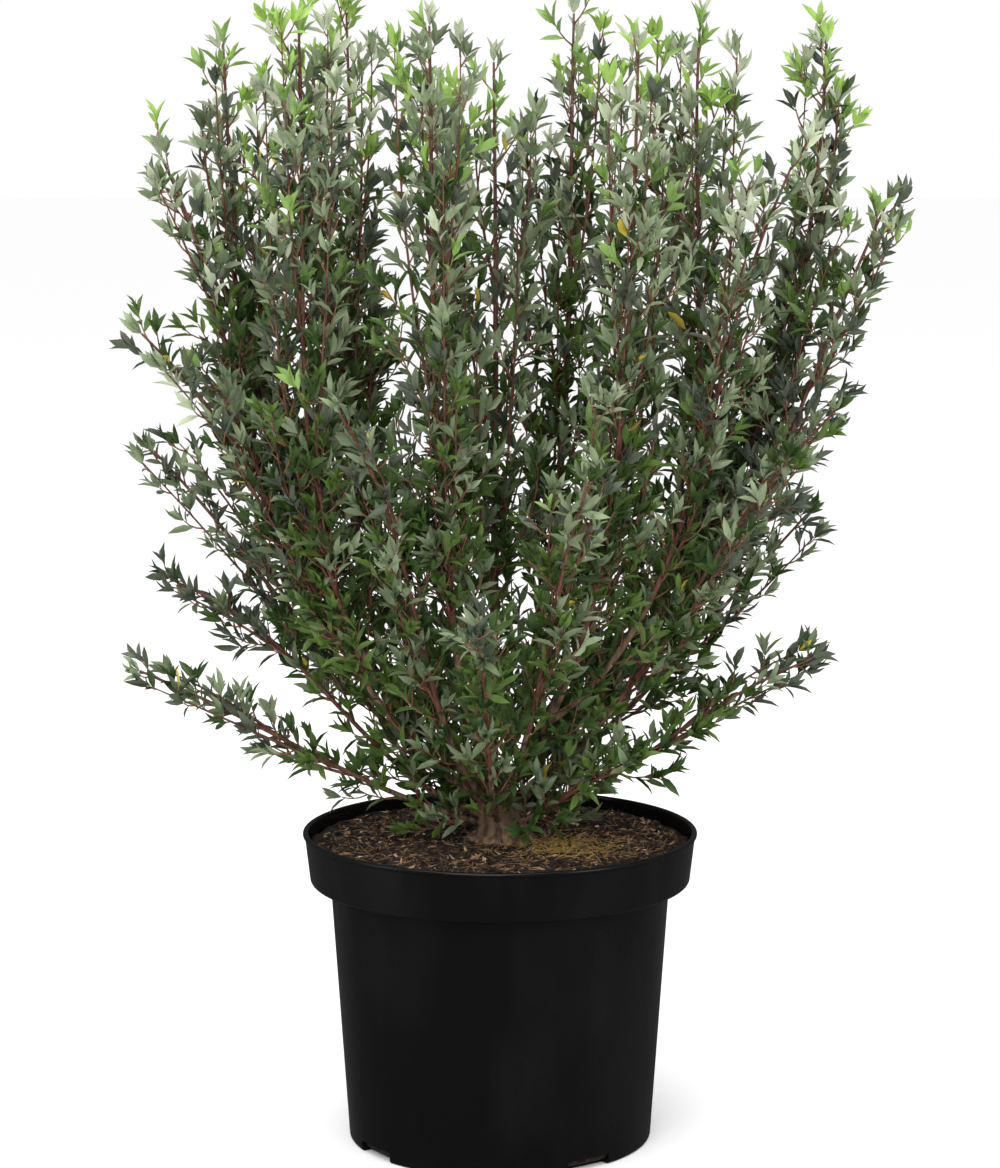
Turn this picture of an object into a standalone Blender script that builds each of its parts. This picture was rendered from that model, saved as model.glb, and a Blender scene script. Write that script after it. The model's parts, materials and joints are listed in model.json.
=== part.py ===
"""A silver sheen tea tree in a round black nursery pot.

The shrub has many stems that leave one low root crown, and its top is clipped flat.
Metres, +Z up. The origin is at the middle of the pot's flat underside, and the
photograph looks along +Y. Each limb, and each mass of foliage, is a solid of its own.
"""

import math
import random
from collections import namedtuple

import bmesh
import bpy
import numpy as np
from mathutils import Matrix, Vector, noise

# Pot
POT_HEIGHT = 0.222
LIP_RADIUS = 0.140
LIP_HEIGHT = 0.0035
BAND_TOP_RADIUS = 0.1385
BAND_BOTTOM_RADIUS = 0.1350
BAND_HEIGHT = 0.036
NECK_RADIUS = 0.1205
BASE_RADIUS = 0.1080
POT_WALL = 0.0022
POT_FLOOR = 0.0030
FOOT_CHAMFER = 0.0015
POT_STEPS = 36
DRAIN_COUNT = 4
DRAIN_WIDTH = 0.035
DRAIN_HEIGHT = 0.008
DRAIN_DEPTH = 0.009
DRAIN_FIRST_AZIMUTH = -54.8

# Potting mix
MIX_LEVEL = 0.2155
MIX_EDGE_LEVEL = 0.2125
MIX_FLAT_RADIUS = 0.032
MIX_UNEVENNESS = 0.0016
MIX_PATCH = 0.022

# Root crown
CROWN_TOP = 0.252
TRUNK_PROFILE = ((0.0, 0.0250), (0.14, 0.0195), (0.35, 0.0155), (0.7, 0.0130), (0.9, 0.0112), (1.0, 0.0070))
TRUNK_LEAN = 0.006

# Crown
CLIP_HEIGHT = 0.815
CROWN_LEFT = -0.275
CROWN_RIGHT = 0.286
CROWN_DEPTH = 0.245
LOWEST_LEAF = 0.226
POT_CLEARANCE = 0.004
GAP = 0.0003
CELL_MARGIN = 0.0022
LIMB_MARGIN = 0.0012
PATH_POINTS = 61
BOUGH_RINGS = 5
STEM_RINGS = 7
STEM_TIP_RADIUS = 0.0010

# Twigs and leaves
LEAF_LENGTH = 0.050
LEAF_WIDTH = 0.0165
LEAF_THICKNESS = 0.0018
LEAF_WIDEST = 0.38
LEAF_TESTS = 11
TWIG_TESTS = 14
TWIG_RADIUS = 0.0016
TWIG_TIP_RADIUS = 0.0011
TWIG_BEND = 14.0
TWIG_ANGLE = 48.0
LEAF_ANGLE = 46.0
GOLDEN_ANGLE = 137.5
SHORTEST_TWIG = 0.016
SEED = 7

Tier = namedtuple("Tier", "foot_lean tip_lean bare foot_radius twigs twig_length")
TIERS = {
    "clipped": Tier(52.0, 2.0, 0.22, 0.0044, 5, 0.072),
    "shoulder": Tier(54.0, 24.0, 0.26, 0.0036, 4, 0.066),
    "side": Tier(60.0, 44.0, 0.30, 0.0031, 4, 0.058),
    "skirt": Tier(74.0, 64.0, 0.34, 0.0024, 3, 0.050),
}

# Azimuth is in degrees from +X towards +Y, and the foot is a share of the parent's length.
Leader = namedtuple("Leader", "name tier parent foot azimuth reach height")
LEADERS = (
    Leader("centre", "clipped", "trunk", 1.00, -112.0, 0.012, 0.777),
    Leader("far_left", "clipped", "trunk", 0.86, 180.0, 0.191, 0.790),
    Leader("front_left", "clipped", "trunk", 0.90, -112.0, 0.124, 0.800),
    Leader("back_right", "clipped", "trunk", 0.88, 62.0, 0.113, 0.812),
    Leader("front_right", "clipped", "trunk", 0.90, -53.0, 0.151, 0.785),
    Leader("far_right", "clipped", "trunk", 0.84, 5.0, 0.228, 0.790),
    Leader("left_front", "clipped", "far_left", 0.50, -151.0, 0.154, 0.800),
    Leader("left_back", "clipped", "far_left", 0.72, 149.0, 0.127, 0.812),
    Leader("right_inner", "clipped", "far_right", 0.55, -8.0, 0.138, 0.800),
    Leader("back", "shoulder", "trunk", 0.78, 104.0, 0.190, 0.760),
    Leader("shoulder_left", "shoulder", "far_left", 0.92, -168.0, 0.241, 0.712),
    Leader("shoulder_right", "shoulder", "far_right", 0.86, -4.0, 0.273, 0.680),
    Leader("shoulder_front_right", "shoulder", "front_right", 0.62, -24.0, 0.219, 0.706),
    Leader("shoulder_back_right", "shoulder", "back_right", 0.62, 44.0, 0.210, 0.720),
    Leader("shoulder_back_left", "shoulder", "trunk", 0.74, 137.0, 0.216, 0.700),
    Leader("side_left_high", "side", "trunk", 0.60, -163.0, 0.264, 0.591),
    Leader("side_left_low", "side", "trunk", 0.52, 168.0, 0.264, 0.498),
    Leader("side_right_high", "side", "trunk", 0.60, -22.0, 0.254, 0.540),
    Leader("side_right_low", "side", "trunk", 0.50, 14.0, 0.238, 0.452),
    Leader("front_left_arch", "side", "trunk", 0.58, -122.0, 0.208, 0.546),
    Leader("front_right_arch", "side", "trunk", 0.60, -73.0, 0.209, 0.504),
    Leader("skirt_left_upper", "skirt", "trunk", 0.34, -178.0, 0.246, 0.410),
    Leader("skirt_left", "skirt", "trunk", 0.20, -163.0, 0.272, 0.356),
    Leader("skirt_right", "skirt", "trunk", 0.22, -9.0, 0.234, 0.358),
    Leader("skirt_front", "skirt", "trunk", 0.30, -95.0, 0.212, 0.400),
    Leader("skirt_front_right", "skirt", "trunk", 0.20, -47.0, 0.150, 0.300),
    Leader("skirt_back_right", "skirt", "trunk", 0.30, 50.0, 0.222, 0.400),
    Leader("skirt_back_left", "skirt", "trunk", 0.30, 122.0, 0.222, 0.385),
)

Path = namedtuple("Path", "points radii")


def clear_scene():
    for item in list(bpy.data.objects):
        bpy.data.objects.remove(item, do_unlink=True)


def new_collection(name):
    made = bpy.data.collections.new(name)
    bpy.context.scene.collection.children.link(made)
    return made


def finish(name, colour, roughness):
    """A Principled material: colour is linear RGB."""
    material = bpy.data.materials.new(name)
    material.use_nodes = True
    shader = material.node_tree.nodes["Principled BSDF"]
    shader.inputs["Base Color"].default_value = (*colour, 1.0)
    shader.inputs["Roughness"].default_value = roughness
    shader.inputs["Metallic"].default_value = 0.0
    return material


def mesh_object(name, mesh, home, material=None):
    made = bpy.data.objects.new(name, mesh)
    home.objects.link(made)
    if material:
        mesh.materials.clear()
        mesh.materials.append(material)
    return made


def baked_mesh(source, name):
    """The object's evaluated shape as a clean, closed mesh. The object is removed."""
    bpy.context.view_layer.update()
    graph = bpy.context.evaluated_depsgraph_get()
    mesh = bpy.data.meshes.new_from_object(source.evaluated_get(graph))
    mesh.name = name
    bpy.data.objects.remove(source, do_unlink=True)
    shape = bmesh.new()
    shape.from_mesh(mesh)
    bmesh.ops.remove_doubles(shape, verts=shape.verts, dist=1e-6)
    bmesh.ops.recalc_face_normals(shape, faces=shape.faces)
    shape.to_mesh(mesh)
    shape.free()
    return mesh


def shade_round(mesh, angle):
    mesh.shade_smooth()
    mesh.set_sharp_from_angle(angle=math.radians(angle))


def turned(name, profile, home):
    """A closed solid turned round Z from a profile of (radius, height)."""
    mesh = bpy.data.meshes.new(name)
    edges = [(i, i + 1) for i in range(len(profile) - 1)]
    mesh.from_pydata([(r, 0.0, z) for r, z in profile], edges, [])
    made = mesh_object(name, mesh, home)
    screw = made.modifiers.new("Turn", "SCREW")
    screw.axis = "Z"
    screw.steps = POT_STEPS
    screw.render_steps = POT_STEPS
    screw.use_merge_vertices = True
    screw.merge_threshold = 0.00005
    return made


def band_inner_radius(height):
    """The inside of the pot's band at a height."""
    share = (height - (POT_HEIGHT - BAND_HEIGHT)) / BAND_HEIGHT
    outer = BAND_BOTTOM_RADIUS + share * (BAND_TOP_RADIUS - BAND_BOTTOM_RADIUS)
    return outer - POT_WALL


def make_pot(home, cutters, plastic):
    band_foot = POT_HEIGHT - BAND_HEIGHT
    ledge_top = band_foot + POT_WALL
    neck_inner = NECK_RADIUS - POT_WALL
    base_inner = BASE_RADIUS - POT_WALL
    lip_inner = LIP_RADIUS - POT_WALL - 0.001
    profile = (
        (0.0, POT_FLOOR),
        (base_inner, POT_FLOOR),
        (neck_inner, ledge_top),
        (band_inner_radius(ledge_top), ledge_top),
        (band_inner_radius(POT_HEIGHT - LIP_HEIGHT), POT_HEIGHT - LIP_HEIGHT),
        (lip_inner, POT_HEIGHT - 0.0005),
        (lip_inner + 0.001, POT_HEIGHT),
        (LIP_RADIUS - 0.0007, POT_HEIGHT),
        (LIP_RADIUS, POT_HEIGHT - 0.0008),
        (LIP_RADIUS, POT_HEIGHT - LIP_HEIGHT + 0.0006),
        (BAND_TOP_RADIUS, POT_HEIGHT - LIP_HEIGHT),
        (BAND_BOTTOM_RADIUS, band_foot + 0.0008),
        (BAND_BOTTOM_RADIUS - 0.0012, band_foot),
        (NECK_RADIUS, band_foot),
        (BASE_RADIUS, FOOT_CHAMFER),
        (BASE_RADIUS - FOOT_CHAMFER, 0.0),
        (0.0, 0.0),
    )
    pot = mesh_object("pot", baked_mesh(turned("pot_profile", profile, home), "pot"), home, plastic)
    for index in range(DRAIN_COUNT):
        cut_drain(pot, cutters, index)
    shade_round(pot.data, 35.0)


def cut_drain(pot, cutters, index):
    """A drain notch in the foot of the wall, of which the photograph shows two."""
    shape = bmesh.new()
    bmesh.ops.create_cube(shape, size=1.0)
    bmesh.ops.scale(shape, verts=shape.verts, vec=(2 * DRAIN_DEPTH, DRAIN_WIDTH, 2 * DRAIN_HEIGHT))
    mesh = bpy.data.meshes.new(f"drain_{index}")
    shape.to_mesh(mesh)
    shape.free()
    cutter = mesh_object(f"drain_{index}", mesh, cutters)
    azimuth = math.radians(DRAIN_FIRST_AZIMUTH - 90.0 + index * 360.0 / DRAIN_COUNT)
    cutter.location = (BASE_RADIUS * math.cos(azimuth), BASE_RADIUS * math.sin(azimuth), 0.0)
    cutter.rotation_euler.z = azimuth
    cutter.hide_render = True
    cutter.display_type = "WIRE"
    cut = pot.modifiers.new(f"Drain {index}", "BOOLEAN")
    cut.operation = "DIFFERENCE"
    cut.object = cutter


def make_mix(home, compost):
    """The potting mix fills the pot, and its top is a low, uneven dome."""
    ledge = POT_HEIGHT - BAND_HEIGHT + POT_WALL + GAP
    neck = NECK_RADIUS - POT_WALL - 2 * GAP
    rim = band_inner_radius(MIX_EDGE_LEVEL) - 2 * GAP
    rings = 6
    profile = [(0.0, MIX_LEVEL), (MIX_FLAT_RADIUS, MIX_LEVEL)]
    for ring in range(1, rings + 1):
        share = ring / rings
        radius = MIX_FLAT_RADIUS + share * (rim - MIX_FLAT_RADIUS)
        profile.append((radius, MIX_LEVEL - share**2 * (MIX_LEVEL - MIX_EDGE_LEVEL)))
    profile += [
        (band_inner_radius(ledge) - 2 * GAP, ledge),
        (neck, ledge),
        (BASE_RADIUS - POT_WALL - 2 * GAP, POT_FLOOR + GAP),
        (0.0, POT_FLOOR + GAP),
    ]
    mesh = baked_mesh(turned("mix_profile", profile, home), "potting_mix")
    inner = MIX_FLAT_RADIUS + 0.002
    outer = rim - 0.002
    for vertex in mesh.vertices:
        radius = math.hypot(vertex.co.x, vertex.co.y)
        if vertex.co.z > ledge + GAP and inner < radius < outer:
            spot = Vector((vertex.co.x, vertex.co.y, 0.0)) / MIX_PATCH
            vertex.co.z += MIX_UNEVENNESS * noise.noise(spot)
    mesh_object("potting_mix", mesh, home, compost)
    shade_round(mesh, 50.0)


def heading(azimuth, lean):
    """A unit vector that leans off the vertical towards an azimuth, both in degrees."""
    turn = math.radians(azimuth)
    tilt = math.radians(lean)
    return np.array((math.sin(tilt) * math.cos(turn), math.sin(tilt) * math.sin(turn), math.cos(tilt)))


def bezier(start, pull_start, pull_end, end, count):
    t = np.linspace(0.0, 1.0, count)[:, None]
    s = 1.0 - t
    return s**3 * start + 3 * s**2 * t * pull_start + 3 * s * t**2 * pull_end + t**3 * end


def lengths(points):
    steps = np.linalg.norm(np.diff(points, axis=0), axis=1)
    return np.concatenate(([0.0], np.cumsum(steps)))


def along(path, share):
    """The place, direction and radius at a share of a path's length."""
    run = lengths(path.points)
    want = share * run[-1]
    place = np.array([np.interp(want, run, path.points[:, axis]) for axis in range(3)])
    index = min(max(int(np.searchsorted(run, want)), 1), len(run) - 1)
    step = path.points[index] - path.points[index - 1]
    return place, step / np.linalg.norm(step), float(np.interp(want, run, path.radii))


def piece_of(path, start, end, count):
    """The stretch of a path between two shares of its length, in evenly spaced points."""
    spots = [along(path, share) for share in np.linspace(start, end, count)]
    return Path(np.array([spot[0] for spot in spots]), np.array([spot[2] for spot in spots]))


def distances(points, path):
    """How far each point is from a path's axis."""
    a = path.points[:-1]
    step = path.points[1:] - a
    reach = points[:, None, :] - a[None, :, :]
    t = np.clip((reach * step).sum(axis=2) / (step * step).sum(axis=1), 0.0, 1.0)
    return np.linalg.norm(reach - t[:, :, None] * step[None, :, :], axis=2).min(axis=1)


def stand_off(points, limb):
    """How far each point is from a limb's surface, flat ends included."""
    a = limb.points[:-1]
    step = limb.points[1:] - a
    size = np.linalg.norm(step, axis=1)
    reach = points[:, None, :] - a[None, :, :]
    run = (reach * step).sum(axis=2) / size
    share = np.clip(run / size, 0.0, 1.0)
    beyond = np.abs(run - share * size)
    off_axis = np.sqrt(np.maximum((reach * reach).sum(axis=2) - run * run, 0.0))
    radius = limb.radii[:-1] * (1.0 - share) + limb.radii[1:] * share
    outside = off_axis - radius
    gap = np.where(beyond > 0.0, np.hypot(beyond, np.maximum(outside, 0.0)), outside)
    return gap.min(axis=1)


def rim(place, direction, radius, count=10):
    """Points round the edge of a tube's end face."""
    side = Vector(direction).orthogonal().normalized()
    other = Vector(direction).cross(side)
    turns = [2 * math.pi * i / count for i in range(count)]
    return np.array([place + radius * (math.cos(t) * np.array(side) + math.sin(t) * np.array(other)) for t in turns])


def trunk_path():
    shares = np.array([share for share, _ in TRUNK_PROFILE])
    low = MIX_LEVEL + GAP
    heights = low + shares * (CROWN_TOP - low)
    upright = TRUNK_PROFILE[1][0]
    points = np.column_stack((-TRUNK_LEAN * np.clip(shares - upright, 0.0, 1.0), 0 * shares, heights))
    return Path(points, np.array([radius for _, radius in TRUNK_PROFILE]))


def leader_path(leader, parent):
    """A leader from its parent's axis to the end of its stem, as one smooth curve."""
    tier = TIERS[leader.tier]
    start, _, parent_radius = along(parent, leader.foot)
    spread = min(1.0, leader.reach / 0.15)
    tip_way = heading(leader.azimuth, tier.tip_lean)
    turn = math.radians(leader.azimuth)
    tip = np.array((leader.reach * math.cos(turn), leader.reach * math.sin(turn), leader.height))
    end = tip - 0.8 * LEAF_LENGTH * tip_way
    across = end - start
    foot_azimuth = math.degrees(math.atan2(across[1], across[0]))
    foot_way = heading(foot_azimuth, tier.foot_lean * spread)
    pull = 0.36 * np.linalg.norm(across)
    points = bezier(start, start + pull * foot_way, end - pull * tip_way, end, PATH_POINTS)
    foot_radius = min(tier.foot_radius, 0.8 * parent_radius)
    shares = lengths(points) / lengths(points)[-1]
    radii = foot_radius + (STEM_TIP_RADIUS - foot_radius) * shares**0.75
    return Path(points, radii)


def clear_foot(path, limbs, longest):
    """The share of a path where it first stands clear of the limbs that it grows from."""
    total = lengths(path.points)[-1]
    shares = np.arange(0.0, longest, 0.0002 / total)
    blocked = 0.0
    for share in shares:
        edge = rim(*along(path, share))
        if any((stand_off(edge, limb) < GAP).any() for limb in limbs):
            blocked = share
    return blocked + 0.0002 / total


def tube(name, path, home, sides):
    """A tapering closed tube of three sides, or of an even number, as a mesh object."""
    curve = bpy.data.curves.new(name, "CURVE")
    curve.dimensions = "3D"
    curve.use_fill_caps = True
    if sides == 3:
        curve.bevel_mode = "OBJECT"
        curve.bevel_object = bpy.data.objects["three_sides"]
    else:
        curve.bevel_depth = 1.0
        curve.bevel_resolution = sides // 2 - 2
    spline = curve.splines.new("POLY")
    spline.points.add(len(path.points) - 1)
    for point, place, radius in zip(spline.points, path.points, path.radii):
        point.co = (*place, 1.0)
        point.radius = radius
    source = bpy.data.objects.new(name + "_curve", curve)
    home.objects.link(source)
    return mesh_object(name, baked_mesh(source, name), home)


def three_sides(home):
    """The outline of a three-sided twig, for the curves' bevel."""
    curve = bpy.data.curves.new("three_sides", "CURVE")
    curve.dimensions = "2D"
    spline = curve.splines.new("POLY")
    spline.use_cyclic_u = True
    spline.points.add(2)
    for index, point in enumerate(spline.points):
        turn = 2 * math.pi * index / 3
        point.co = (math.cos(turn), math.sin(turn), 0.0, 1.0)
    made = bpy.data.objects.new("three_sides", curve)
    home.objects.link(made)
    return made


def leaf_mesh():
    """One leaf: eight faces, a pointed blade along +Z with its root at the origin."""
    shape = bmesh.new()
    bmesh.ops.create_uvsphere(shape, u_segments=4, v_segments=2, radius=1.0)
    for vertex in shape.verts:
        x, y, z = vertex.co
        height = LEAF_WIDEST if abs(z) < 0.5 else (z + 1.0) / 2.0
        vertex.co = (x * LEAF_WIDTH / 2, y * LEAF_THICKNESS / 2, height * LEAF_LENGTH)
    bmesh.ops.recalc_face_normals(shape, faces=shape.faces)
    mesh = bpy.data.meshes.new("leaf")
    shape.to_mesh(mesh)
    shape.free()
    return mesh


def leaf_frame(root, way, scale, spin):
    """Where a leaf sits: its blade runs along way, its upper face turned up, then spun."""
    length = Vector(way).normalized()
    across = length.cross(Vector((0.0, 0.0, 1.0)))
    if across.length < 0.05:
        across = Vector((1.0, 0.0, 0.0))
    across.normalize()
    upper = length.cross(across)
    turned_axes = Matrix((across, upper, length)).transposed().to_4x4()
    place = Matrix.Translation(Vector(root)) @ turned_axes
    return place @ Matrix.Rotation(spin, 4, "Z") @ Matrix.Scale(scale, 4)


def leaf_outline(frame):
    """Points over a leaf's blade that are tested for room."""
    marks = []
    for step in range(1, LEAF_TESTS + 1):
        share = step / LEAF_TESTS
        narrowing = share / LEAF_WIDEST if share < LEAF_WIDEST else (1.0 - share) / (1.0 - LEAF_WIDEST)
        half = 0.5 * LEAF_WIDTH * narrowing
        marks += [(side * half, 0.0, share * LEAF_LENGTH) for side in (-1.0, 0.0, 1.0)]
    return np.array([frame @ Vector(mark) for mark in marks])


def has_room(points, own, leaders, limbs):
    """Whether points are in the mass's own space, off the limbs and clear of the pot."""
    radius = np.hypot(points[:, 0], points[:, 1])
    low = points[:, 2] < np.where(radius < LIP_RADIUS + 0.01, POT_HEIGHT + POT_CLEARANCE, LOWEST_LEAF)
    if low.any() or (points[:, 2] > CLIP_HEIGHT).any():
        return False
    if points[:, 0].min() < CROWN_LEFT or points[:, 0].max() > CROWN_RIGHT:
        return False
    if np.abs(points[:, 1]).max() > CROWN_DEPTH:
        return False
    mine = distances(points, leaders[own]) + CELL_MARGIN
    for name, path in leaders.items():
        if name != own and (distances(points, path) < mine).any():
            return False
    return not any((stand_off(points, limb) < LIMB_MARGIN).any() for limb in limbs)


def turned_off(way, angle, spin):
    """A direction that stands off another by an angle, spun round it, both in degrees."""
    base = Vector(way)
    side = base.orthogonal().normalized()
    side.rotate(Matrix.Rotation(math.radians(spin), 3, base))
    tilt = math.radians(angle)
    return np.array(math.cos(tilt) * base + math.sin(tilt) * side)


def twig_path(root, way, length, radius):
    """A short twig in two straight runs, the outer one bent up towards the light."""
    upward = np.array(way) + math.tan(math.radians(TWIG_BEND)) * np.array((0.0, 0.0, 1.0))
    upward /= np.linalg.norm(upward)
    middle = root + 0.45 * length * np.array(way)
    points = np.array((root, middle, middle + 0.55 * length * upward))
    return Path(points, np.array((radius, 0.85 * radius, TWIG_TIP_RADIUS)))


def grow(leader, stem, leaders, limbs):
    """The twigs and leaves of one mass, by a seeded rule along its stem."""
    draw = random.Random(f"{SEED} {leader.name}")
    tier = TIERS[leader.tier]
    twigs = []
    frames = []

    def add_leaf(root, way, scale):
        for spin in (0.0, 50.0, -50.0):
            frame = leaf_frame(root, way, scale, math.radians(spin + draw.uniform(-12.0, 12.0)))
            if has_room(leaf_outline(frame), leader.name, leaders, limbs):
                frames.append(frame)
                return

    tip, tip_way, _ = along(stem, 1.0)
    add_leaf(tip - 0.2 * LEAF_LENGTH * tip_way, tip_way, 1.0)
    for side in range(2):
        add_leaf(along(stem, 0.97)[0], turned_off(tip_way, 34.0, 180.0 * side + 40.0), 0.85)
    spin = draw.uniform(0.0, 360.0)
    for index in range(tier.twigs):
        share = 0.05 + 0.85 * (index + draw.uniform(0.2, 0.8)) / tier.twigs
        root, way, radius = along(stem, share)
        length = tier.twig_length * (1.0 - 0.45 * share) * draw.uniform(0.85, 1.1)
        for _ in range(12):
            spin += GOLDEN_ANGLE
            twig_way = turned_off(way, TWIG_ANGLE, spin)
            twig = twig_path(root, twig_way, length, min(TWIG_RADIUS, 0.8 * radius + 0.0004))
            checked = piece_of(twig, 0.2, 1.0, TWIG_TESTS).points
            if has_room(checked, leader.name, leaders, limbs):
                break
            length *= 0.9
        else:
            continue
        if length < SHORTEST_TWIG:
            continue
        twigs.append(twig)
        end, end_way, _ = along(twig, 1.0)
        add_leaf(end - 0.05 * LEAF_LENGTH * end_way, end_way, draw.uniform(0.9, 1.05))
        leaf_spin = draw.uniform(0.0, 360.0)
        for place in (0.88, 0.5):
            leaf_spin += GOLDEN_ANGLE
            spot, spot_way, _ = along(twig, place)
            add_leaf(spot, turned_off(spot_way, LEAF_ANGLE, leaf_spin), draw.uniform(0.8, 1.0))
    return twigs, frames


def make_mass(leader, stem, leaders, limbs, home, blade, green):
    """One mass of foliage: its stem, twigs and leaves fused into one solid."""
    name = "foliage_" + leader.name
    pieces = new_collection(name + "_pieces")
    twigs, frames = grow(leader, stem, leaders, limbs)
    for index, twig in enumerate(twigs):
        tube(f"{name}_twig_{index}", twig, pieces, 3)
    for index, frame in enumerate(frames):
        leaf = mesh_object(f"{name}_leaf_{index}", blade, pieces)
        leaf.matrix_world = frame
    body = tube(name + "_stem", stem, home, 6)
    fuse = body.modifiers.new("Fuse", "BOOLEAN")
    fuse.operation = "UNION"
    fuse.operand_type = "COLLECTION"
    fuse.collection = pieces
    mesh = baked_mesh(body, name)
    for item in list(pieces.objects):
        bpy.data.objects.remove(item, do_unlink=True)
    bpy.data.collections.remove(pieces)
    mesh_object(name, mesh, home, green)


def grow_limbs():
    """The axes of all leaders, and the clear stretch of each that is a bare bough."""
    trunk = trunk_path()
    boughs = {"trunk": trunk}
    axes = {}
    grown = [trunk]
    for leader in LEADERS:
        path = leader_path(leader, boughs[leader.parent])
        start = clear_foot(path, grown, 0.15)
        axes[leader.name] = path
        boughs[leader.name] = piece_of(path, start, TIERS[leader.tier].bare, BOUGH_RINGS)
        grown.append(piece_of(path, start, 1.0, PATH_POINTS))
    return axes, boughs


def stem_of(path, bough, bare):
    """The stretch of a leader inside its mass, whose foot face stands clear of the bough's tip."""
    stem = piece_of(path, bare, 1.0, STEM_RINGS)
    bough_way = bough.points[-1] - bough.points[-2]
    stem_way = stem.points[1] - stem.points[0]
    bend = np.linalg.norm(np.cross(bough_way, stem_way))
    bend /= np.linalg.norm(bough_way) * np.linalg.norm(stem_way)
    clear = GAP + bough.radii[-1] * bend
    return piece_of(path, bare + clear / lengths(path.points)[-1], 1.0, STEM_RINGS)


def make_plant(home):
    bark = finish("bark", (0.085, 0.050, 0.032), 0.85)
    green = finish("foliage", (0.060, 0.110, 0.050), 0.60)
    axes, boughs = grow_limbs()
    trunk = tube("trunk", boughs["trunk"], home, 24)
    trunk.data.materials.append(bark)
    shade_round(trunk.data, 60.0)
    guide = three_sides(home)
    blade = leaf_mesh()
    for leader in LEADERS:
        bough = tube("bough_" + leader.name, boughs[leader.name], home, 6)
        bough.data.materials.append(bark)
        shade_round(bough.data, 70.0)
    limbs = list(boughs.values())
    for leader in LEADERS:
        stem = stem_of(axes[leader.name], boughs[leader.name], TIERS[leader.tier].bare)
        make_mass(leader, stem, axes, limbs, home, blade, green)
    bpy.data.objects.remove(guide, do_unlink=True)


def main():
    clear_scene()
    home = new_collection("potted silver sheen tea tree")
    cutters = new_collection("cutters")
    make_pot(home, cutters, finish("pot_plastic", (0.012, 0.012, 0.014), 0.25))
    make_mix(home, finish("potting_mix", (0.075, 0.042, 0.024), 0.95))
    make_plant(home)


main()
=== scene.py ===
import json
import math
import random
from collections import namedtuple

import bpy
import numpy as np
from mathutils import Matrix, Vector, noise

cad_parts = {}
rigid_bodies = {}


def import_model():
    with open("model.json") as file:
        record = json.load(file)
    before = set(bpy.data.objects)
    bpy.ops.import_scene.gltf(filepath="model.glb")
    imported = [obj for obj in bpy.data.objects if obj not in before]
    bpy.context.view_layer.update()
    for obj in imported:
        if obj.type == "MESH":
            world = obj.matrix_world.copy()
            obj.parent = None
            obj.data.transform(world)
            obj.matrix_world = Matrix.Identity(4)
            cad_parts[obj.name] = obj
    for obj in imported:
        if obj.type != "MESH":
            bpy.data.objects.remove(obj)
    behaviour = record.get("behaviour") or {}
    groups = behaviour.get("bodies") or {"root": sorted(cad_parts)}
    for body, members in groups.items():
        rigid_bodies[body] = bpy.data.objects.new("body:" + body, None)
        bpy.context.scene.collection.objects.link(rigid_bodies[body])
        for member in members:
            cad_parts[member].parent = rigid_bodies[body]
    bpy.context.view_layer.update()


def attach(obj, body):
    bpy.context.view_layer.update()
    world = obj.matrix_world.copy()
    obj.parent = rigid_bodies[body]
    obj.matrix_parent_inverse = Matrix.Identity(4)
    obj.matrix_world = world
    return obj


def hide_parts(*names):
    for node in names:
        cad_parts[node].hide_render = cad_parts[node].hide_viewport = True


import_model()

# Studio
# A white floor in an even white room, under soft lights and seen from a little above. A
# tall light on the right and a narrow one on the left draw the pot's upright reflections.
CAMERA_PLACE = (0.0, -2.4052, 0.7485)
CAMERA_PITCH = 8.29
CAMERA_LENS = 106.5
FLOOR_SIZE = 40.0
ROOM_LIGHT = 1.0
ROOM_IN_GLOSS = 0.08


class Value:
    """A shader socket that takes part in Python expressions."""

    def __init__(self, finish, socket):
        self.finish = finish
        self.socket = socket

    def maths(self, operation, *values):
        return self.finish.node("ShaderNodeMath", {"operation": operation}, *values)

    def __add__(self, other):
        return self.maths("ADD", self, other)

    __radd__ = __add__

    def __mul__(self, other):
        return self.maths("MULTIPLY", self, other)

    __rmul__ = __mul__


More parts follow.
